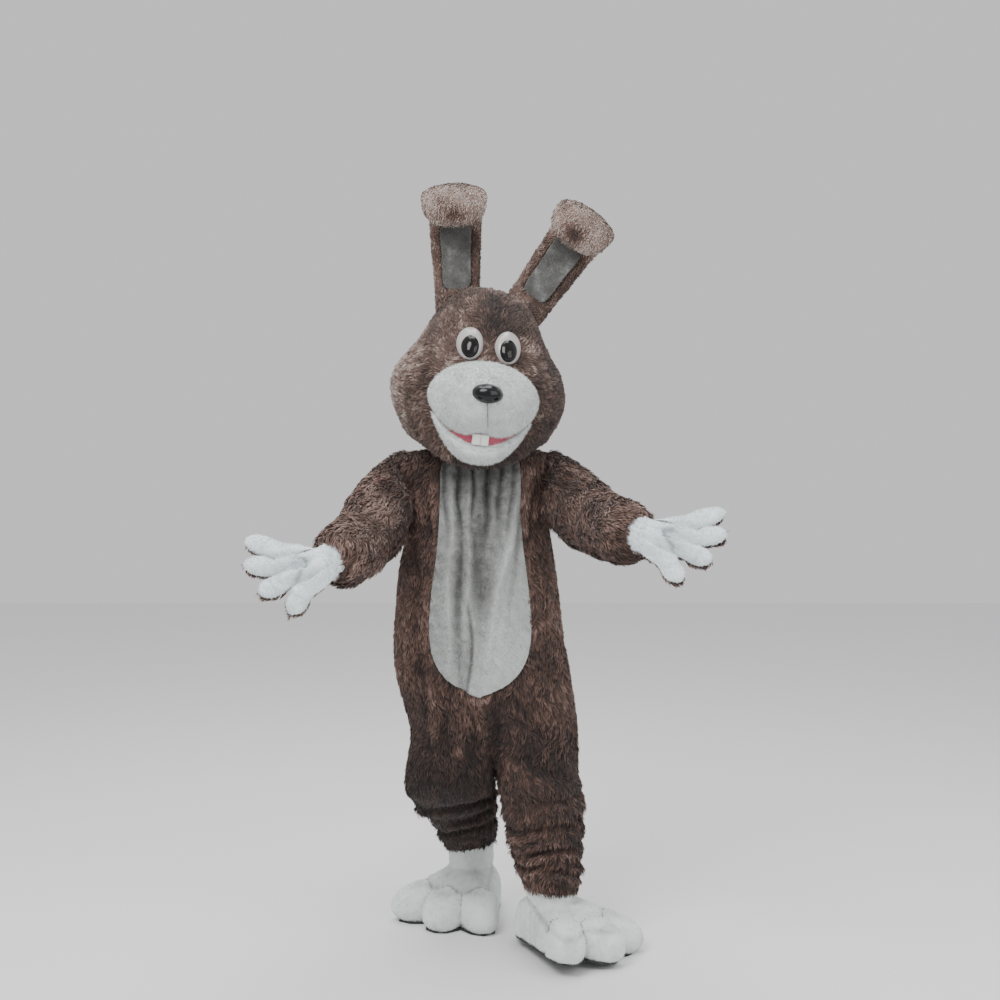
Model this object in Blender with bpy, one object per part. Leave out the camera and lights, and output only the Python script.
# Rabbit mascot costume: jumpsuit, head, gloves and boots, standing as worn, in metres.
# The origin is the centre of the neck at the shoulder line. +X is the wearer's left, -Y the front, +Z up.
import math

import bmesh
import bpy
from mathutils import Matrix, Vector
from mathutils.bvhtree import BVHTree

RIGHT, LEFT = -1, 1
SIDE_NAMES = {RIGHT: "right", LEFT: "left"}

SEAM = 0.0003
FOLDED_SEAM = 0.0008
FUR_WALL = 0.006
PLUSH_WALL = 0.003
HEAD_WALL = 0.014
GLOVE_WALL = 0.0025
BOOT_WALL = 0.008
FLOOR = -1.42

NECK_RADIUS = 0.0885
ARMHOLE_CENTRE_Z = -0.095
ARMHOLE_HALF_HEIGHT = 0.11
ARMHOLE_HALF_DEPTH = 0.085
ARMHOLE_STEPS = 8
PANEL_COLUMNS = 6
BELLY_COLUMNS = 10
ZIP_GAP = 0.007
ZIP_BOTTOM = -0.60

BROWN = ((0.14, 0.085, 0.065), 0.95, 0.0)
PALE = ((0.62, 0.63, 0.61), 0.9, 0.0)
GLOVE_PALE = ((0.74, 0.77, 0.78), 0.85, 0.0)
PINK = ((0.55, 0.10, 0.16), 0.6, 0.0)
BLACK = ((0.01, 0.01, 0.012), 0.15, 0.0)
WHITE = ((0.8, 0.8, 0.78), 0.4, 0.0)
EYE_GREY = ((0.35, 0.33, 0.32), 0.4, 0.0)
SOLE_DARK = ((0.03, 0.03, 0.035), 0.8, 0.0)
METAL = ((0.35, 0.33, 0.3), 0.35, 1.0)


def table(columns, rows):
    names = columns.split()
    return [dict(zip(names, row)) for row in rows]


def read(rows, column, key, key_column="z"):
    """The column's value at a key, by a smooth curve through the table's rows."""
    falling = rows[0][key_column] > rows[-1][key_column]
    ordered = rows[::-1] if falling else rows
    keys = [row[key_column] for row in ordered]
    values = [row[column] for row in ordered]
    if key <= keys[0]:
        return values[0]
    if key >= keys[-1]:
        return values[-1]
    i = max(k for k in range(len(keys) - 1) if keys[k] <= key)
    span = keys[i + 1] - keys[i]
    t = (key - keys[i]) / span

    def slope(k):
        low, high = max(k - 1, 0), min(k + 1, len(keys) - 1)
        return (values[high] - values[low]) / (keys[high] - keys[low]) * span

    a, b, c, d = values[i], slope(i), values[i + 1], slope(i + 1)
    return ((2 * t**3 - 3 * t**2 + 1) * a + (t**3 - 2 * t**2 + t) * b
            + (3 * t**2 - 2 * t**3) * c + (t**3 - t**2) * d)


# The trunk, row by row: x of both sides, y of front and back, x of the middle, how square the
# section is (1 is an ellipse, less is squarer), and how far the row has split into two legs.
TRUNK = table("z side_z right left front back middle square split", [
    (0.055, 0.055, -0.0885, 0.0885, -0.0885, 0.0885, 0.0, 1.0, 0.0),
    (0.030, 0.040, -0.0885, 0.0885, -0.0885, 0.0885, 0.0, 1.0, 0.0),
    (0.000, 0.030, -0.128, 0.124, -0.104, 0.108, 0.0, 0.98, 0.0),
    (-0.035, 0.022, -0.168, 0.160, -0.118, 0.124, 0.0, 0.93, 0.0),
    (-0.070, 0.015, -0.203, 0.193, -0.130, 0.136, 0.0, 0.88, 0.0),
    (-0.215, -0.205, -0.219, 0.200, -0.152, 0.155, 0.0, 0.84, 0.0),
    (-0.260, -0.260, -0.226, 0.208, -0.158, 0.158, 0.0, 0.84, 0.0),
    (-0.330, -0.330, -0.240, 0.219, -0.167, 0.160, 0.0, 0.84, 0.0),
    (-0.400, -0.400, -0.246, 0.228, -0.175, 0.158, 0.0, 0.84, 0.0),
    (-0.540, -0.540, -0.255, 0.244, -0.187, 0.160, 0.0, 0.84, 0.0),
    (-0.610, -0.610, -0.252, 0.258, -0.188, 0.168, 0.0, 0.84, 0.0),
    (-0.680, -0.680, -0.239, 0.270, -0.183, 0.176, 0.002, 0.84, 0.0),
    (-0.750, -0.750, -0.219, 0.280, -0.172, 0.176, 0.014, 0.86, 0.08),
    (-0.820, -0.820, -0.207, 0.286, -0.160, 0.168, 0.025, 0.88, 0.27),
    (-0.885, -0.885, -0.217, 0.287, -0.150, 0.155, 0.036, 0.92, 0.58),
    (-0.935, -0.935, -0.224, 0.288, -0.142, 0.145, 0.043, 1.0, 1.0),
])

BELLY = table("z half_width", [
    (0.055, 0.058), (0.030, 0.064), (0.000, 0.092), (-0.035, 0.110), (-0.130, 0.115), (-0.250, 0.122),
    (-0.370, 0.137), (-0.490, 0.145), (-0.560, 0.135), (-0.600, 0.116), (-0.635, 0.083),
    (-0.655, 0.048), (-0.672, 0.0015),
])
BELLY_BOTTOM = -0.672
BELLY_TURNS = -0.65
SEAM_FOLDS = -0.85

ROWS_ABOVE_ARMHOLE = (0.055, 0.030, 0.000, -0.035)
ARMHOLE_TOP, ARMHOLE_BOTTOM = -0.070, -0.215
ROWS_TO_BELLY_BOTTOM = (-0.27, -0.34, -0.41, -0.48, -0.54, -0.59, -0.63, -0.655, -0.672)
ROWS_TO_CROTCH = (-0.71, -0.76, -0.81, -0.86, -0.905, -0.935)

# Each leg below the crotch: outer and inner x, y of the middle, half depth front to back,
# and how far the row's folds swell (+) or sink (-), with the tilt that lifts the inner side.
LEGS = {
    RIGHT: table("z outer inner middle_y half_depth swell tilt", [
        (-0.935, -0.224, 0.043, 0.0, 0.143, 0.0, 0.0),
        (-0.962, -0.225, 0.041, 0.014, 0.142, 0.003, 0.0),
        (-0.988, -0.221, 0.044, 0.037, 0.137, 0.008, 0.05),
        (-1.006, -0.212, 0.045, 0.054, 0.131, -0.003, 0.10),
        (-1.020, -0.207, 0.046, 0.068, 0.128, -0.012, 0.15),
        (-1.036, -0.198, 0.046, 0.084, 0.124, 0.006, 0.18),
        (-1.054, -0.186, 0.046, 0.102, 0.118, 0.010, 0.18),
        (-1.070, -0.170, 0.045, 0.118, 0.113, -0.012, 0.18),
        (-1.086, -0.156, 0.045, 0.134, 0.108, 0.005, 0.2),
        (-1.103, -0.148, 0.045, 0.151, 0.104, 0.008, 0.2),
        (-1.120, -0.141, 0.045, 0.168, 0.101, -0.010, 0.2),
        (-1.140, -0.137, 0.045, 0.187, 0.098, 0.006, 0.2),
        (-1.162, -0.131, 0.045, 0.209, 0.097, 0.006, 0.2),
        (-1.185, -0.122, 0.046, 0.232, 0.098, 0.000, 0.2),
    ]),
    LEFT: table("z outer inner middle_y half_depth swell tilt", [
        (-0.935, 0.288, 0.043, 0.0, 0.143, 0.0, 0.0),
        (-0.962, 0.296, 0.048, -0.004, 0.141, 0.004, 0.0),
        (-0.990, 0.299, 0.054, -0.010, 0.138, -0.010, -0.12),
        (-1.012, 0.300, 0.060, -0.016, 0.134, 0.004, -0.15),
        (-1.036, 0.301, 0.064, -0.023, 0.130, 0.008, -0.12),
        (-1.060, 0.301, 0.069, -0.030, 0.125, -0.010, -0.08),
        (-1.080, 0.301, 0.074, -0.037, 0.120, 0.003, -0.1),
        (-1.102, 0.300, 0.078, -0.044, 0.116, 0.010, -0.12),
        (-1.124, 0.299, 0.081, -0.050, 0.112, -0.012, -0.1),
        (-1.146, 0.298, 0.088, -0.056, 0.108, 0.006, -0.05),
        (-1.168, 0.297, 0.096, -0.062, 0.104, -0.012, 0.0),
        (-1.188, 0.295, 0.101, -0.068, 0.100, 0.006, 0.05),
        (-1.210, 0.289, 0.107, -0.075, 0.096, 0.006, 0.08),
        (-1.232, 0.286, 0.118, -0.082, 0.091, 0.000, 0.08),
    ]),
}

# The boots: where the ankle stands, how far the toes turn out and how far the outer side is raised.
BOOTS = {
    RIGHT: dict(ankle=Vector((-0.035, 0.243, 0.0)), turn=26.0, roll=0.0, hem_z=-1.208),
    LEFT: dict(ankle=Vector((0.203, -0.085, 0.0)), turn=45.0, roll=9.0, hem_z=-1.246),
}
SHAFT_RADIUS = 0.071

# The creases that show: along a line on the front (x and z of its middle, its turn from upright in
# degrees, its half length and half width) the cloth sinks (-) or stands up (+) by the depth.
CREASES = table("x z turn half_length half_width depth", [
    (-0.047, -0.10, 2.0, 0.09, 0.012, -0.006),
    (0.010, -0.08, -2.0, 0.08, 0.012, -0.006),
    (-0.075, -0.32, 3.0, 0.22, 0.014, -0.007),
    (0.050, -0.35, -1.0, 0.22, 0.020, -0.008),
    (0.072, -0.30, 1.0, 0.20, 0.014, 0.006),
    (-0.020, -0.36, 4.0, 0.20, 0.018, 0.007),
    (-0.030, -0.60, 8.0, 0.035, 0.014, -0.007),
    (-0.195, -0.76, 4.0, 0.06, 0.016, -0.010),
    (-0.070, -0.80, -18.0, 0.10, 0.016, -0.011),
    (-0.020, -0.75, 10.0, 0.08, 0.018, 0.008),
    (0.022, -0.80, 0.0, 0.08, 0.016, -0.010),
    (0.150, -0.86, 30.0, 0.08, 0.018, -0.008),
])

ARMS = {
    RIGHT: dict(hole=Vector((-0.205, 0.0, -0.095)), outward=Vector((-0.26, 0.0, 0.05)),
                elbow=Vector((-0.318, -0.20, -0.222)), wrist=Vector((-0.392, -0.385, -0.276)),
                end=Vector((-0.12, -0.17, -0.05))),
    LEFT: dict(hole=Vector((0.195, 0.0, -0.095)), outward=Vector((0.14, -0.03, 0.05)),
               elbow=Vector((0.325, -0.19, -0.180)), wrist=Vector((0.424, -0.385, -0.206)),
               end=Vector((0.13, -0.17, -0.02))),
}
SLEEVE = table("t radius swell", [
    (0.06, 0.104, 0.004), (0.14, 0.104, 0.0), (0.23, 0.101, 0.004), (0.33, 0.098, -0.005), (0.43, 0.096, 0.004),
    (0.53, 0.092, -0.004), (0.64, 0.090, 0.004), (0.75, 0.088, -0.003), (0.86, 0.086, 0.003), (0.95, 0.076, 0.0),
])
CUFF_RADIUS = 0.046


def collection(name):
    group = bpy.data.collections.new(name)
    bpy.context.scene.collection.children.link(group)
    return group


def material(name, look):
    colour, roughness, metallic = look
    made = bpy.data.materials.new(name)
    made.use_nodes = True
    shader = made.node_tree.nodes["Principled BSDF"]
    shader.inputs["Base Color"].default_value = (*colour, 1.0)
    shader.inputs["Roughness"].default_value = roughness
    shader.inputs["Metallic"].default_value = metallic
    return made


def body(name, vertices, faces, look):
    """One closed body from its points and faces, turned to face out."""
    mesh = bpy.data.meshes.new(name)
    mesh.from_pydata([tuple(v) for v in vertices], [], faces)
    bm = bmesh.new()
    bm.from_mesh(mesh)
    bmesh.ops.recalc_face_normals(bm, faces=bm.faces)
    bm.to_mesh(mesh)
    bm.free()
    mesh.shade_smooth()
    made = bpy.data.objects.new(name, mesh)
    mesh.materials.append(material(name, look))
    COSTUME.objects.link(made)
    return made


def wall(name, outer, inner, look, closed=False):
    """A closed wall between two grids of points with the same rows and columns."""
    rows, columns = len(outer), len(outer[0])
    vertices = [p for row in outer for p in row] + [p for row in inner for p in row]
    size = rows * columns
    steps = columns if closed else columns - 1
    faces = []
    for i in range(rows - 1):
        for j in range(steps):
            k = (j + 1) % columns
            quad = (i * columns + j, (i + 1) * columns + j, (i + 1) * columns + k, i * columns + k)
            faces.append(quad)
            faces.append(tuple(size + v for v in reversed(quad)))
    rim = [(0, j, 0, (j + 1) % columns) for j in range(steps)]
    rim += [(rows - 1, (j + 1) % columns, rows - 1, j) for j in range(steps)]
    if not closed:
        rim += [(i + 1, 0, i, 0) for i in range(rows - 1)]
        rim += [(i, columns - 1, i + 1, columns - 1) for i in range(rows - 1)]
    for i, j, m, n in rim:
        a, b = i * columns + j, m * columns + n
        faces.append((a, b, size + b, size + a))
    return body(name, vertices, faces, look)


def key_of(point):
    return tuple(round(c, 5) for c in point)


def shared_normals(grids):
    """The surface's normal at each point, the same on both sides of a seam, from (sign, grid) pairs."""
    sums = {}
    for sign, grid in grids:
        for upper, lower in zip(grid, grid[1:]):
            for j in range(len(upper) - 1):
                corners = (upper[j], lower[j], lower[j + 1], upper[j + 1])
                area = (corners[2] - corners[0]).cross(corners[3] - corners[1]) * sign
                for corner in corners:
                    sums.setdefault(key_of(corner), Vector()).__iadd__(area)
    return {key: total.normalized() for key, total in sums.items()}


def pulled(grid, normals, edges, gap=SEAM / 2):
    """The grid with its seam edges drawn in, each by its own gap, along the cloth."""
    result = [list(row) for row in grid]
    last_row, last_column = len(grid) - 1, len(grid[0]) - 1
    for edge, width in edges.items():
        for i in range(len(grid)):
            distance = width(i) if callable(width) else width
            j = 0 if edge == "start" else last_column
            beside = 1 if edge == "start" else last_column - 1
            along = grid[min(i + 1, last_row)][j] - grid[max(i - 1, 0)][j]
            across = normals[key_of(grid[i][j])].cross(along).normalized()
            if across.dot(grid[i][beside] - grid[i][j]) < 0:
                across = -across
            result[i][j] = grid[i][j] + across * distance
    return result


def thickened(name, grid, normals, depth, look, edges, rows_with=None, corner=None):
    """A cloth panel: its outer points drawn in at the seams, its inner points a wall's depth below."""
    outer = pulled(grid, normals, edges)
    if corner:
        row, shift = corner
        outer[row][0] = outer[row][0] + shift
    inner = []
    for i, row in enumerate(grid):
        direction = rows_with(i) if rows_with else None
        inner.append([])
        for j, point in enumerate(row):
            normal = direction(point) if direction else normals[key_of(point)]
            inner[-1].append(outer[i][j] - normal * depth)
    return wall(name, outer, inner, look)


def crease(point):
    """How far the creases near a point of the front raise the cloth there."""
    total = 0.0
    for fold in CREASES:
        turn = math.radians(fold["turn"])
        dx, dz = point.x - fold["x"], point.z - fold["z"]
        along = abs(-dx * math.sin(turn) + dz * math.cos(turn)) / fold["half_length"]
        across = (dx * math.cos(turn) + dz * math.sin(turn)) / fold["half_width"]
        if along < 1.4:
            fade = math.cos(min(along / 1.4, 1.0) * math.pi / 2)
            total += fold["depth"] * math.exp(-across * across) * fade
    return total


def trunk_point(side, row, angle, front):
    """A point of a trunk row: 0 is the middle of the front or back, 90 degrees the side."""
    z = row["z"]
    middle, square = read(TRUNK, "middle", z), read(TRUNK, "square", z)
    reach = read(TRUNK, SIDE_NAMES[side], z) - middle
    depth = read(TRUNK, "front" if front else "back", z)
    x = middle + reach * math.sin(angle) ** square
    y = depth * max(math.cos(angle), 0.0) ** square
    split = read(TRUNK, "split", z)
    if split > 0:
        around = math.pi * angle / (math.pi / 2)
        ring_x = middle + reach * (1 - math.cos(around)) / 2
        ring_y = depth * math.sin(around)
        x, y = x + (ring_x - x) * split, y + (ring_y - y) * split
    drop = math.sin(angle) ** 2
    side_z = row["side_z"]
    return Vector((x, y, z + (side_z - z) * drop))


def trunk_rows():
    """The suit's rows from neck to crotch, each with the angle where its side edge lies."""
    rows = [dict(z=z, side_z=read(TRUNK, "side_z", z), hole=None) for z in ROWS_ABOVE_ARMHOLE]
    for step in range(ARMHOLE_STEPS + 1):
        around = math.pi * step / ARMHOLE_STEPS
        t = (1 - math.cos(around)) / 2 * 0.6 + step / ARMHOLE_STEPS * 0.4
        rows.append(dict(z=ARMHOLE_TOP + (ARMHOLE_BOTTOM - ARMHOLE_TOP) * t,
                         side_z=ARMHOLE_CENTRE_Z + ARMHOLE_HALF_HEIGHT * math.cos(around),
                         hole=ARMHOLE_HALF_DEPTH * math.sin(around)))
    rows += [dict(z=z, side_z=z, hole=None) for z in ROWS_TO_BELLY_BOTTOM + ROWS_TO_CROTCH]
    return rows


def edge_angle(row, front):
    """Where the row's panel ends: at the side, or short of it at the armhole."""
    if not row["hole"] or row["hole"] < 1e-6:
        return math.pi / 2
    depth = abs(read(TRUNK, "front" if front else "back", row["z"]))
    square = read(TRUNK, "square", row["z"])
    return math.acos((row["hole"] / depth) ** (1 / square))


def belly_angle(side, z):
    """Where the belly's edge crosses a row of the trunk's front."""
    if z < BELLY_BOTTOM - 1e-6:
        return 0.0
    reach = abs(read(TRUNK, SIDE_NAMES[side], z) - read(TRUNK, "middle", z))
    half = read(BELLY, "half_width", z)
    return math.asin((half / reach) ** (1 / read(TRUNK, "square", z)))


def hem_point(side, angle):
    """The trouser hem round the boot's shaft: 0 is the inner side, 90 degrees the front, 180 the outer."""
    radius = (SHAFT_RADIUS + SEAM) / math.cos(math.pi / 2 / PANEL_COLUMNS) + FUR_WALL
    ankle, tilt = BOOTS[side]["ankle"], LEGS[side][-1]["tilt"]
    height = BOOTS[side]["hem_z"] + tilt * SHAFT_RADIUS * math.cos(angle)
    return Vector((ankle.x - side * radius * math.cos(angle), ankle.y - radius * math.sin(angle), height))


def leg_rows(side, front):
    """The rows of one leg's front or back half, from below the crotch to the hem."""
    turn = 1 if front else -1
    rows = []
    for section in LEGS[side][1:]:
        x_middle = (section["outer"] + section["inner"]) / 2
        half = abs(section["outer"] - section["inner"]) / 2
        row = []
        for j in range(PANEL_COLUMNS + 1):
            angle = math.pi * j / PANEL_COLUMNS
            bulge = section["swell"] * (0.35 + 0.65 * math.sin(angle))
            x = x_middle - side * (half + bulge) * math.cos(angle)
            y = section["middle_y"] - turn * (section["half_depth"] + bulge) * math.sin(angle)
            lift = section["tilt"] * half * math.cos(angle)
            row.append(Vector((x, y, section["z"] + lift)))
        rows.append(row)
    rows.append([hem_point(side, turn * math.pi * j / PANEL_COLUMNS) for j in range(PANEL_COLUMNS + 1)])
    return rows


def panel_grid(side, front, rows):
    """One front or back panel of the suit, from neck to hem; its first edge is the middle one."""
    grid = []
    for row in rows:
        start = belly_angle(side, row["z"]) if front else 0.0
        end = edge_angle(row, front)
        line = []
        for j in range(PANEL_COLUMNS + 1):
            angle = start + (end - start) * j / PANEL_COLUMNS
            line.append(trunk_point(side, row, angle, front))
        grid.append(line)
    return grid + leg_rows(side, front)


def belly_grid(rows):
    grid = []
    for row in rows:
        if row["z"] < BELLY_BOTTOM - 1e-6:
            break
        half = {side: belly_angle(side, row["z"]) for side in (RIGHT, LEFT)}
        line = []
        for j in range(BELLY_COLUMNS + 1):
            share = 2 * j / BELLY_COLUMNS - 1
            side = LEFT if share > 0 else RIGHT
            line.append(trunk_point(side, row, half[side] * abs(share), True))
        grid.append(line)
    return grid


def creased(grid, normals):
    """The grid with the front's creases, kept still along its edges at neck, armhole and hem."""
    shift = {}
    for i, row in enumerate(grid):
        for j, point in enumerate(row):
            normal = normals[key_of(point)]
            facing = max(-normal.y, 0.0)
            still = i < 2 or point.z < -0.95
            shift[i, j] = Vector() if still else normal * (crease(point) * facing)
    return [[p + shift[i, j] for j, p in enumerate(row)] for i, row in enumerate(grid)]


def facing_sign(name):
    """Whether the panel's rows and columns turn with the outward direction or against it."""
    if name == "belly":
        return 1
    side, front = name
    return side if front else -side


def suit_name(side, front):
    return f"suit_{'front' if front else 'back'}_{SIDE_NAMES[side]}"


def make_suit():
    rows = trunk_rows()
    grids = {(side, front): panel_grid(side, front, rows) for side in (RIGHT, LEFT) for front in (True, False)}
    grids["belly"] = belly_grid(rows)
    plain = shared_normals((facing_sign(name), grid) for name, grid in grids.items())
    grids = {name: creased(grid, plain) for name, grid in grids.items()}
    normals = shared_normals((facing_sign(name), grid) for name, grid in grids.items())
    last = len(grids[RIGHT, True]) - 1

    def level(side):
        def direction(i):
            if i == 0:
                return lambda p: Vector((p.x, p.y, 0)).normalized()
            if i == last:
                ankle = BOOTS[side]["ankle"]
                return lambda p: Vector((p.x - ankle.x, p.y - ankle.y, 0)).normalized()
            return None
        return direction

    for (side, front), grid in [item for item in grids.items() if item[0] != "belly"]:
        middle = [FOLDED_SEAM if line[0].z < SEAM_FOLDS else SEAM / 2 for line in grid]
        if not front:
            middle = [ZIP_GAP / 2 if line[0].z > ZIP_BOTTOM else gap for line, gap in zip(grid, middle)]
        name = suit_name(side, front)
        corner = (len(rows) - 1, Vector((0, -FOLDED_SEAM if front else FOLDED_SEAM, 0)))
        thickened(name, grid, normals, FUR_WALL, BROWN, {"start": middle.__getitem__, "end": SEAM / 2},
                  level(side), corner)
    edge = [FOLDED_SEAM if line[0].z < BELLY_TURNS else SEAM / 2 for line in grids["belly"]]
    thickened("suit_belly", grids["belly"], normals, PLUSH_WALL, PALE,
              {"start": edge.__getitem__, "end": edge.__getitem__}, lambda i: level(RIGHT)(i) if i == 0 else None)
    return grids, normals


def bezier_path(arm, t):
    """The arm's middle line from armhole (0) over the elbow (0.5) to the wrist (1), and its direction."""
    through = (arm["wrist"] - arm["hole"]) * 0.5
    if t <= 0.5:
        a, b, c, d, u = arm["hole"], arm["outward"], arm["elbow"], through, t * 2
    else:
        a, b, c, d, u = arm["elbow"], through, arm["wrist"], arm["end"], t * 2 - 1
    place = ((2 * u**3 - 3 * u**2 + 1) * a + (u**3 - 2 * u**2 + u) * b
             + (3 * u**2 - 2 * u**3) * c + (u**3 - u**2) * d)
    ahead = ((6 * u**2 - 6 * u) * a + (3 * u**2 - 4 * u + 1) * b
             + (6 * u - 6 * u**2) * c + (3 * u**2 - 2 * u) * d)
    return place, ahead.normalized()


def arm_frame(side, t):
    """Middle, direction, upward and forward axes of the sleeve at t."""
    place, ahead = bezier_path(ARMS[side], t)
    up = (Vector((0, 0, 1)) - ahead * ahead.z).normalized()
    inward = up.cross(ahead) * side
    return place, ahead, up, -inward


def make_sleeve(side, grids, normals):
    first = len(ROWS_ABOVE_ARMHOLE)
    order = [(True, first + k) for k in range(ARMHOLE_STEPS + 1)]
    order += [(False, first + k) for k in range(ARMHOLE_STEPS - 1, 0, -1)]
    loop = [grids[side, front][i][PANEL_COLUMNS] for front, i in order]
    body_normals = [normals[key_of(p)] for p in loop]
    count = len(loop)
    centre = sum(loop, Vector()) / count
    inward = []
    for k, point in enumerate(loop):
        along = loop[(k + 1) % count] - loop[k - 1]
        across = body_normals[k].cross(along).normalized()
        inward.append(across if across.dot(centre - point) > 0 else -across)
    outer = [[p + r * SEAM - n * FUR_WALL for p, r, n in zip(loop, inward, body_normals)],
             [p + r * SEAM for p, r in zip(loop, inward)]]
    inner = [[p + r * FUR_WALL for p, r in zip(line, inward)] for line in outer]
    hole = ARMS[side]["hole"]
    for section in SLEEVE:
        t = section["t"]
        place, ahead, up, forward = arm_frame(side, t)
        weight = min(t / 0.30, 1.0)
        weight = weight * weight * (3 - 2 * weight)
        line, deep = [], []
        for k, start in enumerate(loop):
            around = 2 * math.pi * k / count
            radial = up * math.cos(around) + forward * math.sin(around)
            swell = section["swell"] * (0.5 + 0.5 * math.cos(around - 2.4))
            ring = place + radial * (section["radius"] + swell)
            carried = start + (place - hole)
            point = carried.lerp(ring, weight)
            line.append(point)
            toward = inward[k].lerp(-radial, weight).normalized()
            deep.append(point + toward * FUR_WALL)
        outer.append(line)
        inner.append(deep)
    place, ahead, up, forward = arm_frame(side, 1.0)
    widen = 1 / math.cos(math.pi / count)
    line, deep = [], []
    for k in range(count):
        around = 2 * math.pi * k / count
        radial = up * math.cos(around) + forward * math.sin(around)
        deep.append(place + radial * (CUFF_RADIUS + SEAM) * widen)
        line.append(place + radial * ((CUFF_RADIUS + SEAM) * widen + FUR_WALL))
    outer.append(line)
    inner.append(deep)
    return wall(f"sleeve_{SIDE_NAMES[side]}", outer, inner, BROWN, closed=True)


# The head about its own middle line: half width, front and back of each row, how far the row dips
# at the front, and how much of the head's turn and lean it has taken up. The first row is the neck rim.
HEAD = table("z half front back dip posed", [
    (0.047, 0.0, 0.0, 0.0, 0.0, 0.0),
    (0.044, 0.128, 0.125, 0.122, 0.022, 0.1),
    (0.040, 0.172, 0.190, 0.150, 0.072, 0.2),
    (0.056, 0.203, 0.226, 0.170, 0.078, 0.5),
    (0.092, 0.226, 0.240, 0.188, 0.060, 0.8),
    (0.138, 0.247, 0.244, 0.200, 0.028, 1.0),
    (0.190, 0.2575, 0.240, 0.205, 0.0, 1.0),
    (0.245, 0.242, 0.224, 0.200, 0.0, 1.0),
    (0.298, 0.208, 0.200, 0.190, 0.0, 1.0),
    (0.350, 0.176, 0.178, 0.176, 0.0, 1.0),
    (0.400, 0.149, 0.154, 0.157, 0.0, 1.0),
    (0.442, 0.121, 0.124, 0.132, 0.0, 1.0),
    (0.472, 0.080, 0.083, 0.092, 0.0, 1.0),
    (0.488, 0.036, 0.038, 0.042, 0.0, 1.0),
    (0.492, 0.004, 0.004, 0.004, 0.0, 1.0),
])
HEAD_COLUMNS = 6
CROWN_ROW = 10
HEAD_FORWARD = -0.03
HEAD_SHIFT = -0.026
HEAD_TURN = math.radians(6)
HEAD_LEAN = math.radians(6.5)
HEAD_PIVOT = Vector((0.0, 0.0, 0.05))
LAID_ON = 0.0016
SEAT_REACH = 0.008
SEAT_STEPS = 10

MUZZLE = dict(q=0.160, half_width=0.150, half_height=0.098, depth=0.062, edge=0.010, lobe=0.010)
MOUTH = dict(half_width=0.122, low=0.028, rise=0.064, depth=0.004)
CHIN = dict(half_width=0.134, low=-0.017, rise=0.117, depth=0.020)
NOSE = dict(q=0.170, half_width=0.041, half_height=0.026, depth=0.024)
EYE = dict(p=0.0535, q=0.309, half_width=0.036, half_height=0.046, depth=0.016)
PUPIL = dict(p=0.0535, q=0.299, half_width=0.024, half_height=0.031, depth=0.007)
TOOTH = dict(p=0.0115, half_width=0.0105, height=0.028, depth=0.010)

# Each ear along its middle line: reach from the base, half width and half thickness.
EAR = table("s half_width half_depth groove", [
    (0.000, 0.066, 0.034, 0.0), (0.052, 0.068, 0.032, 1.0), (0.110, 0.072, 0.030, 1.0), (0.165, 0.075, 0.030, 1.0),
    (0.222, 0.078, 0.031, 1.0), (0.267, 0.083, 0.033, 0.4), (0.302, 0.090, 0.036, 0.0), (0.334, 0.095, 0.038, 0.0),
    (0.367, 0.096, 0.040, 0.0), (0.402, 0.092, 0.041, 0.0), (0.430, 0.077, 0.035, 0.0), (0.448, 0.048, 0.020, 0.0),
])
EAR_STEM = 0.262
EAR_FOLD_RADIUS = 0.043
EAR_FOLD_TURN = math.radians(170)
EAR_POINTS = 12
EAR_HOLLOW = 0.72
EAR_FACING = 0.0025
EAR_LIFT = 0.0036
EAR_INNER_ROWS = 4
EARS = {
    RIGHT: dict(base=Vector((-0.067, -0.005, 0.445)), up=Vector((-0.03, 0.04, 1.0))),
    LEFT: dict(base=Vector((0.127, -0.005, 0.432)), up=Vector((0.60, 0.04, 0.83))),
}

# The digits of a glove, from the thumb on: where each web lies, and each tip, across (a) and along (b)
# the hand from the wrist.
WEBS = table("a b", [(0.096, 0.100), (0.060, 0.146), (0.012, 0.156), (-0.036, 0.126), (-0.074, 0.068)])
TIPS = table("a b", [(0.140, 0.206), (0.064, 0.228), (-0.034, 0.210), (-0.112, 0.150)])
DIGIT = table("share half_width half_depth", [
    (0.30, 0.0285, 0.023), (0.62, 0.0285, 0.022), (0.88, 0.0215, 0.015), (1.00, 0.0095, 0.0)])
DIGIT_COLUMNS = 4
PALM_ROWS = (0.0, 0.30, 0.62, 1.0)
PALM_DEPTH = 0.024
GLOVE_CURL = 1.2
WRIST_BEND = 0.055
GLOVES = {
    RIGHT: dict(along=Vector((-0.93, -0.14, -0.30)), palm=Vector((-0.08, -0.84, 0.54))),
    LEFT: dict(along=Vector((0.94, -0.20, -0.27)), palm=Vector((0.12, -0.80, 0.58))),
}

# The boot's rings by height over the floor: how far the ring reaches from the shaft to the foot's
# outline, and how much it swells.
BOOT = table("z foot swell", [
    (0.0055, 0.90, 0.0), (0.028, 1.00, 0.0), (0.055, 1.01, 0.0), (0.080, 0.93, 0.0), (0.100, 0.74, 0.0),
    (0.116, 0.46, 0.0), (0.130, 0.22, 0.0), (0.143, 0.03, -0.002), (0.156, 0.0, 0.0)])
FOOT = table("angle reach", [
    (0.0, 0.255), (9.0, 0.243), (18.0, 0.203), (27.0, 0.242), (36.0, 0.262), (45.0, 0.246), (54.0, 0.176),
    (75.0, 0.112), (96.0, 0.092), (117.0, 0.090), (138.0, 0.102), (159.0, 0.118), (180.0, 0.124)])
SHAFT_OVERLAP = 0.016
SOLE_THICKNESS = 0.005

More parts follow.
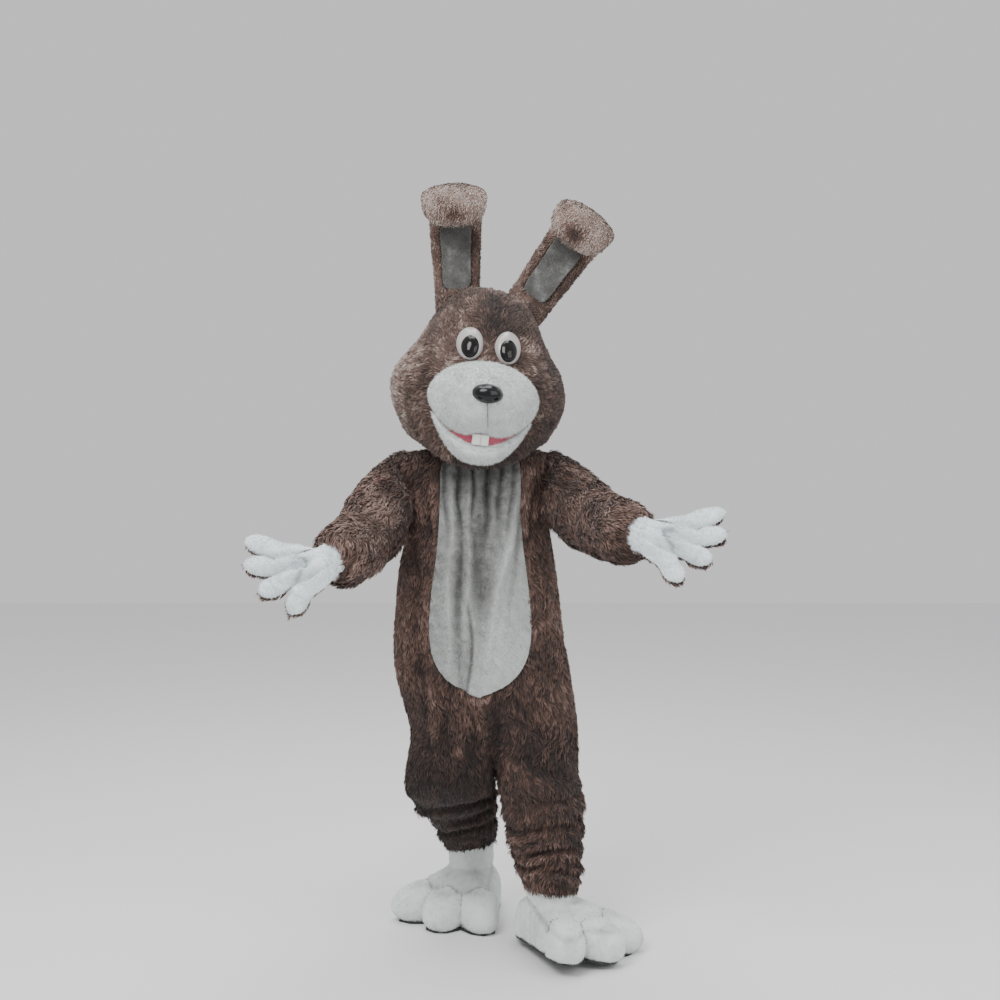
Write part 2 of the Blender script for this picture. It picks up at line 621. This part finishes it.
BOOT_LIFT_REACH = 0.09
TAIL_RADIUS = 0.055
TAIL_FLATNESS = 0.85
TAIL_Z = -0.70
ZIP_DEPTH = 0.002
ZIP_THICKNESS = 0.0025
SLIDER_Z = -0.028
SLIDER_SIZE = Vector((0.006, 0.010, 0.003))
PIN_RADIUS = 0.0006
EYE_HOLE = 0.00095
PULL_RADIUS = 0.0019
PULL_LENGTH = 0.022
PULL_HALF_WIDTH = 0.0014
PULL_HALF_DEPTH = 0.0007


def head_pose(point, share):
    """Turns and leans a point of the upright head about the neck."""
    matrix = Matrix.Rotation(HEAD_TURN * share, 3, "Z") @ Matrix.Rotation(HEAD_LEAN * share, 3, "Y")
    return matrix @ (point - HEAD_PIVOT) + HEAD_PIVOT + Vector((HEAD_SHIFT * share, 0, 0))


def head_point(row, side, angle, front):
    """A point of the head: 0 is the middle of the front or back, 90 degrees the side."""
    facing = -1 if front else 1
    if row["half"] == 0.0:
        radius = (NECK_RADIUS + SEAM) / math.cos(math.pi / 4 / HEAD_COLUMNS)
        return Vector((side * radius * math.sin(angle), facing * radius * math.cos(angle), row["z"]))
    depth = row["front"] if front else row["back"]
    dip = row["dip"] * math.cos(angle) ** 2 if front else 0.0
    point = Vector((side * row["half"] * math.sin(angle),
                    HEAD_FORWARD + facing * depth * math.cos(angle), row["z"] - dip))
    return head_pose(point, row["posed"])


def make_head():
    grids = {}
    for side in (RIGHT, LEFT):
        for front in (True, False):
            grids[side, front] = [[head_point(row, side, math.pi / 2 * j / HEAD_COLUMNS, front)
                                   for j in range(HEAD_COLUMNS + 1)] for row in HEAD]
    normals = shared_normals((-facing_sign(name), grid) for name, grid in grids.items())
    seams = [SEAM * 2 if i > CROWN_ROW else SEAM / 2 for i in range(len(HEAD))]
    down = Vector((0, 0, -1))
    panels = []
    for (side, front), grid in grids.items():
        name = f"head_{'front' if front else 'back'}_{SIDE_NAMES[side]}"
        panels.append(thickened(name, grid, normals, HEAD_WALL, BROWN,
                                {"start": seams.__getitem__, "end": seams.__getitem__},
                                lambda i: (lambda p: down) if i == 0 else None))
    return panels


def surface_of(*objects):
    """A tree for casting rays onto the objects' surfaces."""
    vertices, faces = [], []
    for item in objects:
        start = len(vertices)
        item.data.calc_loop_triangles()
        vertices += [v.co.copy() for v in item.data.vertices]
        faces += [[start + v for v in triangle.vertices] for triangle in item.data.loop_triangles]
    return BVHTree.FromPolygons(vertices, faces)


def seated(item, tree, toward):
    """Moves a piece towards what carries it until the two are a seam apart."""
    near, far = 0.0, SEAT_REACH
    for _ in range(SEAT_STEPS):
        middle = (near + far) / 2
        item.data.transform(Matrix.Translation(toward * middle))
        if surface_of(item).overlap(tree):
            far = middle
        else:
            near = middle
        item.data.transform(Matrix.Translation(toward * -middle))
    item.data.transform(Matrix.Translation(toward * (near - SEAM)))
    return item


def face_ray(p, q):
    """A ray towards the face at p across and q up the upright head."""
    start = head_pose(Vector((p, -1.0, q)), 1.0)
    return start, (head_pose(Vector((p, 0.0, q)), 1.0) - start).normalized()


def laid(tree, p, q, height, lift):
    """A pad's back point, lifted off the surface behind (p, q), and its front point at a height over it."""
    start, ahead = face_ray(p, q)
    beside = face_ray(p + 2 * SEAM, q)[0]
    hit = tree.ray_cast(beside, ahead)[0]
    back = start + ahead * ((hit - beside).dot(ahead) - lift)
    return back, back - ahead * height


def disc_pad(name, tree, outline, height, look, segments, shares, lift=LAID_ON, arch=0.0):
    """A round pad: outline(angle) gives its edge from its middle, height(share, angle) its depth."""
    middle = outline(None)
    back_middle, front_middle = laid(tree, *middle, height(0.0, 0.0), lift + arch)
    back, front = [back_middle], [front_middle]
    for share in shares:
        for k in range(segments):
            angle = 2 * math.pi * k / segments
            p, q = outline(angle)
            p, q = middle[0] + (p - middle[0]) * share, middle[1] + (q - middle[1]) * share
            low, high = laid(tree, p, q, height(share, angle), lift + arch * (1 - share * share))
            back.append(low)
            front.append(high)
    count, faces = len(back), []
    for k in range(segments):
        m = (k + 1) % segments
        faces += [(0, 1 + k, 1 + m), (count, count + 1 + m, count + 1 + k)]
        for ring in range(len(shares) - 1):
            a, b = 1 + ring * segments, 1 + (ring + 1) * segments
            faces.append((a + k, b + k, b + m, a + m))
            faces.append((count + a + m, count + b + m, count + b + k, count + a + k))
        edge = 1 + (len(shares) - 1) * segments
        faces.append((edge + k, count + edge + k, count + edge + m, edge + m))
    return body(name, back + front, faces, look)


def oval(size, p=0.0):
    def outline(angle):
        if angle is None:
            return p, size["q"]
        return p + size["half_width"] * math.cos(angle), size["q"] + size["half_height"] * math.sin(angle)
    return outline


def dome(size, edge=0.002):
    return lambda share, angle: edge + size["depth"] * math.sqrt(max(1.0 - share * share, 0.0))


def muzzle_edge(p):
    """The lower edge of the muzzle, two soft lobes either side of the middle."""
    across = min(abs(p) / MUZZLE["half_width"], 1.0)
    lobes = MUZZLE["lobe"] * math.sin(math.pi * min(across * 1.15, 1.0))
    return MUZZLE["q"] - MUZZLE["half_height"] * math.sqrt(1 - across**2.2) - lobes + MUZZLE["lobe"] * 0.4


def muzzle_outline(angle):
    if angle is None:
        return 0.0, MUZZLE["q"]
    p = MUZZLE["half_width"] * math.cos(angle)
    if math.sin(angle) >= 0:
        return p, MUZZLE["q"] + MUZZLE["half_height"] * math.sin(angle)
    return p, muzzle_edge(p)


def muzzle_height(share, angle):
    cleft = 0.010 * math.exp(-(math.cos(angle) * share / 0.12) ** 2) if math.sin(angle) < -0.3 else 0.0
    return MUZZLE["edge"] + MUZZLE["depth"] * (1 - share**2.4) - cleft * share


def grid_pad(name, tree, columns, rows, across, span, height, look, lift=LAID_ON):
    """A pad between a lower and an upper edge: span(p) gives both, height(u, v) its depth."""
    back, front = [], []
    for i in range(rows + 1):
        low_line, high_line = [], []
        for j in range(columns + 1):
            p = across[0] + (across[1] - across[0]) * j / columns
            low, high = span(p)
            a, b = laid(tree, p, low + (high - low) * i / rows, height(j / columns, i / rows), lift)
            low_line.append(a)
            high_line.append(b)
        back.append(low_line)
        front.append(high_line)
    return wall(name, front, back, look)


def make_face(panels):
    tree = surface_of(*panels)
    toward = face_ray(0.0, 0.0)[1]
    muzzle = disc_pad("muzzle", tree, muzzle_outline, muzzle_height, PALE, 20, (0.25, 0.5, 0.72, 0.9, 1.0),
                      lift=0.0034, arch=0.002)
    muzzle = surface_of(seated(muzzle, tree, toward))
    seated(disc_pad("nose", muzzle, oval(NOSE), dome(NOSE), BLACK, 14, (0.45, 0.8, 1.0), lift=0.0022), muzzle, toward)
    for side in (RIGHT, LEFT):
        eye = disc_pad(f"eye_{SIDE_NAMES[side]}", tree, oval(EYE, side * EYE["p"]), dome(EYE), EYE_GREY, 14,
                       (0.45, 0.8, 1.0), lift=0.0022)
        eye = surface_of(seated(eye, tree, toward))
        pupil = disc_pad(f"pupil_{SIDE_NAMES[side]}", eye, oval(PUPIL, side * PUPIL["p"]), dome(PUPIL, 0.001),
                         BLACK, 12, (0.5, 0.85, 1.0), lift=0.0034)
        seated(pupil, eye, toward)

    def lip(p):
        return MOUTH["low"] + MOUTH["rise"] * (p / MOUTH["half_width"]) ** 2

    def rounded(u, v):
        return math.sin(math.pi * v) ** 0.5 if 0 < v < 1 else 0.0

    apart = 0.0015
    reach = MOUTH["half_width"]
    mouth = grid_pad("mouth", tree, 12, 2, (-reach, reach), lambda p: (lip(p) + apart, muzzle_edge(p) - apart),
                     lambda u, v: MOUTH["depth"], PINK)
    mouth = surface_of(seated(mouth, tree, toward))
    reach = CHIN["half_width"]
    chin = grid_pad("chin", tree, 14, 3, (-reach, reach),
                    lambda p: (CHIN["low"] + CHIN["rise"] * (abs(p) / reach) ** 2.5, lip(p)),
                    lambda u, v: 0.006 + CHIN["depth"] * rounded(u, v) * math.sin(math.pi * u) ** 0.5, PALE,
                    lift=0.0026)
    seated(chin, tree, toward)
    for side in (RIGHT, LEFT):
        middle = side * TOOTH["p"]
        top = min(muzzle_edge(middle - TOOTH["half_width"]), muzzle_edge(middle + TOOTH["half_width"])) - apart
        tooth = grid_pad(f"tooth_{SIDE_NAMES[side]}", mouth, 3, 3,
                         (middle - TOOTH["half_width"], middle + TOOTH["half_width"]),
                         lambda p: (top - TOOTH["height"], top),
                         lambda u, v: TOOTH["depth"] * (0.75 + 0.25 * math.sin(math.pi * u)), WHITE)
        seated(tooth, mouth, toward)


def ear_frame(side, s):
    """Middle, width axis and front axis of an ear at a reach s from its base."""
    ear = EARS[side]
    up = ear["up"].normalized()
    width = up.cross(Vector((0, -1, 0))).normalized()
    front = up.cross(width)
    front = front if front.y < 0 else -front
    place = ear["base"] + up * min(s, EAR_STEM)
    turned = max(s - EAR_STEM, 0.0) / EAR_FOLD_RADIUS
    bend = min(turned, EAR_FOLD_TURN)
    place = place + front * EAR_FOLD_RADIUS * (1 - math.cos(bend)) + up * EAR_FOLD_RADIUS * math.sin(bend)
    ahead = up * math.cos(bend) + front * math.sin(bend)
    place += ahead * EAR_FOLD_RADIUS * (turned - bend)
    return place, width, front * math.cos(bend) - up * math.sin(bend)


def dropped(tree, point, up):
    """The place just over the surface under a point, measured either side of any seam there."""
    reaches = []
    for step in (-4 * SEAM, 4 * SEAM):
        beside = point + Vector((step, step, 0))
        reaches.append((tree.ray_cast(beside + up, -up)[0] - beside).dot(up))
    return point + up * (max(reaches) + EAR_LIFT)


def make_ear(side, panels):
    """The stuffed ear, hollowed along its front between two rolled borders, and its pale facing."""
    tree = surface_of(*panels)
    up = EARS[side]["up"].normalized()
    rings = []
    for section in EAR:
        place, width, front = ear_frame(side, section["s"])
        ring = []
        for k in range(EAR_POINTS):
            around = 2 * math.pi * k / EAR_POINTS
            across, deep = math.cos(around), math.sin(around)
            if deep > 0:
                deep *= 1 - EAR_HOLLOW * section["groove"] * math.exp(-(across / 0.6) ** 4)
            ring.append(place + width * section["half_width"] * across + front * section["half_depth"] * deep)
        rings.append(ring)
    foot = rings[0]
    centre = sum(foot, Vector()) / EAR_POINTS
    rings[:1] = [[centre.lerp(p, share) for p in foot] for share in (0.35, 0.7, 1.0)]
    for i in range(3):
        rings[i] = [dropped(tree, p, up) for p in rings[i]]
    vertices = [p for ring in rings for p in ring]
    vertices.append(dropped(tree, centre, up))
    last = (len(rings) - 1) * EAR_POINTS
    faces = [(len(vertices) - 1, k, (k + 1) % EAR_POINTS) for k in range(EAR_POINTS)]
    faces.append(tuple(range(last, last + EAR_POINTS)))
    for i in range(len(rings) - 1):
        for k in range(EAR_POINTS):
            a, b = i * EAR_POINTS + k, i * EAR_POINTS + (k + 1) % EAR_POINTS
            faces.append((a, a + EAR_POINTS, b + EAR_POINTS, b))
    ear = seated(body(f"ear_{SIDE_NAMES[side]}", vertices, faces, BROWN), tree, -up)
    middle = EAR_POINTS // 4
    patch = [ring[middle - 1:middle + 2] for ring in rings[3:EAR_INNER_ROWS + 3]]
    normals = shared_normals([(1, patch)])
    deep = [[p + normals[key_of(p)] * SEAM * 2 for p in line] for line in patch]
    outer = [[p + normals[key_of(p)] * (SEAM * 2 + EAR_FACING) for p in line] for line in patch]
    facing = wall(f"ear_inner_{SIDE_NAMES[side]}", outer, deep, PALE)
    facing.data.transform(Matrix.Translation(ear.data.vertices[0].co - vertices[0]))


def make_tail(carriers):
    place = Vector((read(TRUNK, "middle", TAIL_Z), 0, TAIL_Z))
    place.y = read(TRUNK, "back", TAIL_Z) + TAIL_RADIUS * TAIL_FLATNESS + SEAM * 2
    bpy.ops.mesh.primitive_uv_sphere_add(segments=14, ring_count=9, radius=TAIL_RADIUS, location=place)
    tail = bpy.context.object
    tail.name = tail.data.name = "tail"
    tail.data.transform(Matrix.Translation(place) @ Matrix.Diagonal((1.0, TAIL_FLATNESS, 1.0, 1.0)))
    tail.location = (0, 0, 0)
    tail.data.shade_smooth()
    seated(tail, surface_of(*carriers), Vector((0, -1, 0)))
    adopt(tail, BROWN)


def adopt(item, look):
    """Puts an object made by an operator into the costume, with its material."""
    for group in list(item.users_collection):
        group.objects.unlink(item)
    COSTUME.objects.link(item)
    item.data.materials.append(material(item.name, look))


def zip_line(grids, normals):
    """The zip's middle line on the back: points, outward directions, from the neck down."""
    points = [row[0] for row in grids[RIGHT, False] if row[0].z > ZIP_BOTTOM]
    return points, [normals[key_of(p)] for p in points]


def make_zip(grids, normals):
    points, outward = zip_line(grids, normals)
    half = Vector((ZIP_GAP / 2 - SEAM, 0, 0))
    outer = [[p + half * s - n * ZIP_DEPTH for s in (-1, 1)] for p, n in zip(points, outward)]
    deep = [[p + half * s - n * (ZIP_DEPTH + ZIP_THICKNESS) for s in (-1, 1)] for p, n in zip(points, outward)]
    wall("zip_chain", outer, deep, METAL)
    i = max(k for k in range(len(points)) if points[k].z > SLIDER_Z)
    down = (points[i + 1] - points[i]).normalized()
    out = Vector((1, 0, 0)).cross(down)
    out = out if out.y > 0 else -out
    share = (points[i].z - SLIDER_Z) / (points[i].z - points[i + 1].z)
    chain = points[i].lerp(points[i + 1], share) - outward[i].lerp(outward[i + 1], share) * ZIP_DEPTH
    make_slider(chain + out * (SEAM + SLIDER_SIZE.z / 2), down, out)


def primitive(name, frame, add, **sizes):
    add(**sizes)
    made = bpy.context.object
    made.name = made.data.name = name
    made.data.transform(frame)
    return made


def make_slider(place, down, out):
    """The zip's slider with two lugs and a pin, and the pull tab that turns on the pin."""
    across = Vector((1, 0, 0))
    frame = Matrix((across, down, out)).transposed().to_4x4()
    frame.translation = place
    pin_place = Vector((0, 0, SLIDER_SIZE.z / 2 + PULL_RADIUS + SEAM * 2))
    lug_size = Vector((0.0011, 0.003, pin_place.z + 0.0012))
    box = bpy.ops.mesh.primitive_cube_add
    slider = primitive("zip_slider", frame @ Matrix.Diagonal((*SLIDER_SIZE, 1)), box, size=1)
    adopt(slider, METAL)
    pieces = []
    for side in (RIGHT, LEFT):
        centre = Vector((side * (SLIDER_SIZE.x - lug_size.x) / 2, 0, lug_size.z / 2))
        shape = frame @ Matrix.Translation(centre) @ Matrix.Diagonal((*lug_size, 1))
        pieces.append(primitive(f"lug_{SIDE_NAMES[side]}", shape, box, size=1))
    turn = Matrix.Rotation(math.pi / 2, 4, "Y")
    pieces.append(primitive("pin", frame @ Matrix.Translation(pin_place) @ turn,
                            bpy.ops.mesh.primitive_cylinder_add, vertices=10, radius=PIN_RADIUS,
                            depth=SLIDER_SIZE.x - lug_size.x))
    for piece in pieces:
        for group in list(piece.users_collection):
            group.objects.unlink(piece)
        CUTTERS.objects.link(piece)
        piece.hide_render = True
        piece.display_type = "WIRE"
        join = slider.modifiers.new(piece.name, "BOOLEAN")
        join.operation = "UNION"
        join.solver = "EXACT"
        join.object = piece
    make_pull(frame @ pin_place, down, out)


def make_pull(pin, down, out):
    """The pull: an eye round the pin, drawn out downwards into a tab."""
    outline, hole = [], []
    arc = 10
    opening = math.radians(28)
    for k in range(arc):
        angle = opening + (2 * math.pi - 2 * opening) * k / (arc - 1)
        outline.append((PULL_RADIUS * math.cos(angle), PULL_RADIUS * math.sin(angle)))
        hole.append((EYE_HOLE * math.cos(angle), EYE_HOLE * math.sin(angle)))
    for share in (-1, 1):
        outline.append((PULL_LENGTH, share * PULL_HALF_DEPTH))
        hole.append((EYE_HOLE * math.cos(share * opening / 3), EYE_HOLE * math.sin(share * opening / 3)))
    rings = []
    for across, shape in ((-1, hole), (-1, outline), (1, outline), (1, hole)):
        offset = Vector((across * PULL_HALF_WIDTH, 0, 0))
        rings.append([offset + down * a + out * b for a, b in shape])
    count = len(outline)
    faces = []
    for i in range(4):
        for k in range(count):
            a, b = i * count + k, i * count + (k + 1) % count
            c, d = ((i + 1) % 4) * count + (k + 1) % count, ((i + 1) % 4) * count + k
            faces.append((a, b, c, d))
    pull = body("zip_pull", [p for ring in rings for p in ring], faces, METAL)
    pull.location = pin


def glove_frame(side, b):
    """Place and axes of the hand at a reach b beyond the wrist: across to the thumb, along, palm side."""
    wrist, arm_along, up, forward = arm_frame(side, 1.0)
    glove = GLOVES[side]
    hand_along = glove["along"].normalized()
    steps = 12
    place = wrist.copy()
    along = arm_along
    for k in range(steps):
        reach = b * (k + 0.5) / steps
        share = min(max((reach - 0.012) / WRIST_BEND, 0.0), 1.0)
        along = arm_along.lerp(hand_along, share * share * (3 - 2 * share)).normalized()
        place += along * (b / steps)
    palm = (glove["palm"] - along * glove["palm"].dot(along)).normalized()
    across = along.cross(palm)
    across = across if across.z > 0 else -across
    return place, across, along, palm


def glove_rows():
    """The hand's net from cuff to fingertips: rows of (a, b, height) with a list of quads."""
    columns = DIGIT_COLUMNS * len(TIPS)
    cuff = [(CUFF_RADIUS * math.cos(math.pi * j / columns), CUFF_RADIUS * math.sin(math.pi * j / columns))
            for j in range(columns + 1)]
    points, index, quads = [], {}, []

    def put(name, a, b, height):
        index[name] = len(points)
        points.append((a, b, height))

    for j, (a, height) in enumerate(cuff):
        put((0, j), a, -0.030, height)
        put((1, j), a, 0.010, height)
    for i, share in enumerate(PALM_ROWS[1:], 2):
        for j, (a, height) in enumerate(cuff):
            digit = min(j // DIGIT_COLUMNS, len(TIPS) - 1)
            across = j / DIGIT_COLUMNS - digit
            start, end = WEBS[digit], WEBS[digit + 1]
            web_a = start["a"] + (end["a"] - start["a"]) * across
            web_b = start["b"] + (end["b"] - start["b"]) * across + 0.012 * math.sin(math.pi * across)
            web_height = PALM_DEPTH * math.sin(math.pi * across)
            narrow = 1 - 0.12 * math.sin(math.pi * min(share * 2, 1.0))
            swell = PALM_DEPTH * 0.35 * math.sin(math.pi * share) * math.sin(math.pi * j / columns)
            put((i, j), (a + (web_a - a) * share) * narrow, 0.010 + (web_b - 0.010) * share,
                height + (web_height - height) * share + swell)
    last = len(PALM_ROWS)
    for i in range(last):
        for j in range(columns):
            quads.append((index[i, j], index[i + 1, j], index[i + 1, j + 1], index[i, j + 1]))
    for digit, tip in enumerate(TIPS):
        start, end = WEBS[digit], WEBS[digit + 1]
        base_a, base_b = (start["a"] + end["a"]) / 2, (start["b"] + end["b"]) / 2
        length = math.hypot(tip["a"] - base_a, tip["b"] - base_b)
        along_a, along_b = (tip["a"] - base_a) / length, (tip["b"] - base_b) / length
        before = [index[last, digit * DIGIT_COLUMNS + k] for k in range(DIGIT_COLUMNS + 1)]
        for section in DIGIT:
            line = []
            for k in range(DIGIT_COLUMNS + 1):
                across = 1 - 2 * k / DIGIT_COLUMNS
                reach = length * section["share"] - 0.006 * across * across
                side = section["half_width"] * math.sin(across * math.pi / 2)
                height = section["half_depth"] * math.cos(across * math.pi / 2)
                put((digit, section["share"], k), base_a + along_a * reach + along_b * side,
                    base_b + along_b * reach - along_a * side, height)
                line.append(len(points) - 1)
            for k in range(DIGIT_COLUMNS):
                quads.append((before[k], line[k], line[k + 1], before[k + 1]))
            before = line
    return points, quads, [index[0, j] for j in range(columns + 1)]


def make_glove(side):
    points, quads, cuff = glove_rows()
    halves = {}
    for facing in (1, -1):
        placed = []
        for a, b, height in points:
            place, across, along, palm = glove_frame(side, b)
            curl = GLOVE_CURL * max(b - 0.10, 0.0) ** 2
            placed.append(place + across * a + palm * (height * facing + curl))
        halves[facing] = placed
    sums = {}
    for facing, placed in halves.items():
        for quad in quads:
            a, b, c, d = (placed[v] for v in quad)
            area = (c - a).cross(d - b)
            _, _, _, palm = glove_frame(side, points[quad[0]][1])
            if area.dot(palm) * facing < 0:
                area = -area
            for v in quad:
                sums.setdefault(key_of(placed[v]), Vector()).__iadd__(area)
    edges = {}
    for quad in quads:
        for k in range(4):
            edge = (quad[k], quad[(k + 1) % 4])
            edges[frozenset(edge)] = None if frozenset(edge) in edges else edge
    rim = [edge for edge in edges.values() if edge]
    for facing, placed in halves.items():
        outer, inner = [], []
        for v, point in enumerate(placed):
            normal = sums[key_of(point)].normalized()
            _, _, along, palm = glove_frame(side, points[v][1])
            if v in (cuff[0], cuff[-1]):
                normal = (normal - palm * normal.dot(palm)).normalized()
            lift = palm * (facing * SEAM / 2) if points[v][2] < 1e-6 else Vector()
            outer.append(point + lift)
            inner.append(point + lift - normal * GLOVE_WALL)
        size = len(outer)
        faces = list(quads) + [tuple(size + v for v in reversed(quad)) for quad in quads]
        faces += [(a, b, size + b, size + a) for a, b in rim]
        name = "glove_palm" if facing == 1 else "glove_back"
        body(f"{name}_{SIDE_NAMES[side]}", outer + inner, faces, GLOVE_PALE if facing == 1 else BROWN)


def foot_reach(angle):
    """How far the foot reaches from the ankle, in degrees from its middle toe."""
    return read(FOOT, "reach", abs(angle), "angle")


def foot_angles():
    """Directions round the foot, close together over the toes."""
    toes = [k * 9.0 for k in range(-6, 7)]
    return toes + [54.0 + 252.0 * k / 12 for k in range(1, 12)]


def boot_ahead(side):
    turn = math.radians(BOOTS[side]["turn"])
    return Vector((side * math.sin(turn), -math.cos(turn), 0))


def boot_point(side, angle, z, foot, swell):
    """A point of the boot at an angle round the ankle and a height over its sole."""
    ahead = boot_ahead(side)
    outward = Vector((-ahead.y * side, ahead.x * side, 0))
    signed = (angle + 180) % 360 - 180
    direction = ahead * math.cos(math.radians(signed)) + outward * math.sin(math.radians(signed))
    radius = SHAFT_RADIUS + (foot_reach(signed) - SHAFT_RADIUS) * foot + swell
    point = direction * radius + Vector((0, 0, z))
    roll = math.radians(BOOTS[side]["roll"]) * min(foot * 1.4, 1.0)
    point = Matrix.Rotation(-roll * side, 3, ahead) @ point
    lift = math.sin(roll) * BOOT_LIFT_REACH
    return BOOTS[side]["ankle"] + point + Vector((0, 0, FLOOR + lift))


def make_boot(side):
    angles = foot_angles()
    top = BOOTS[side]["hem_z"] - FLOOR + SHAFT_OVERLAP
    sections = BOOT + [dict(z=top, foot=0.0, swell=0.0)]
    outer = [[boot_point(side, a, s["z"], s["foot"], s["swell"]) for a in angles] for s in sections[::-1]]
    ankle = BOOTS[side]["ankle"] + Vector((0, 0, FLOOR))
    sole_up = Matrix.Rotation(-math.radians(BOOTS[side]["roll"]) * side, 3, boot_ahead(side)) @ Vector((0, 0, 1))
    inner = []
    for i, line in enumerate(outer):
        count = len(line)
        row = []
        for j, point in enumerate(line):
            along = line[(j + 1) % count] - line[j - 1]
            up = outer[max(i - 1, 0)][j] - outer[min(i + 1, len(outer) - 1)][j]
            normal = along.cross(up).normalized()
            outward = point - ankle
            outward.z = 0
            if normal.dot(outward) < 0:
                normal = -normal
            if i in (0, len(outer) - 1):
                level = Vector((0, 0, 1)) if i == 0 else sole_up
                normal = (normal - level * normal.dot(level)).normalized()
            row.append(point - normal * BOOT_WALL)
        inner.append(row)
    wall(f"boot_{SIDE_NAMES[side]}", outer, inner, PALE, closed=True)
    foot, z = BOOT[0]["foot"], BOOT[0]["z"] - SEAM
    rings = [[boot_point(side, a, height, foot + 0.02, 0.0) for a in angles] for height in (z, z - SOLE_THICKNESS)]
    count = len(angles)
    faces = [tuple(range(count)), tuple(range(count, 2 * count))]
    faces += [(k, (k + 1) % count, count + (k + 1) % count, count + k) for k in range(count)]
    body(f"sole_{SIDE_NAMES[side]}", rings[0] + rings[1], faces, SOLE_DARK)


def clear_scene():
    for item in list(bpy.data.objects):
        bpy.data.objects.remove(item, do_unlink=True)


clear_scene()
COSTUME = collection("rabbit_mascot_costume")
CUTTERS = collection("cutters")
SUIT_GRIDS, SUIT_NORMALS = make_suit()
HEAD_PANELS = make_head()
make_face(HEAD_PANELS)
make_zip(SUIT_GRIDS, SUIT_NORMALS)
make_tail([bpy.data.objects[suit_name(SIDE, False)] for SIDE in (RIGHT, LEFT)])
for SIDE in (RIGHT, LEFT):
    make_sleeve(SIDE, SUIT_GRIDS, SUIT_NORMALS)
    make_ear(SIDE, HEAD_PANELS)
    make_glove(SIDE)
    make_boot(SIDE)
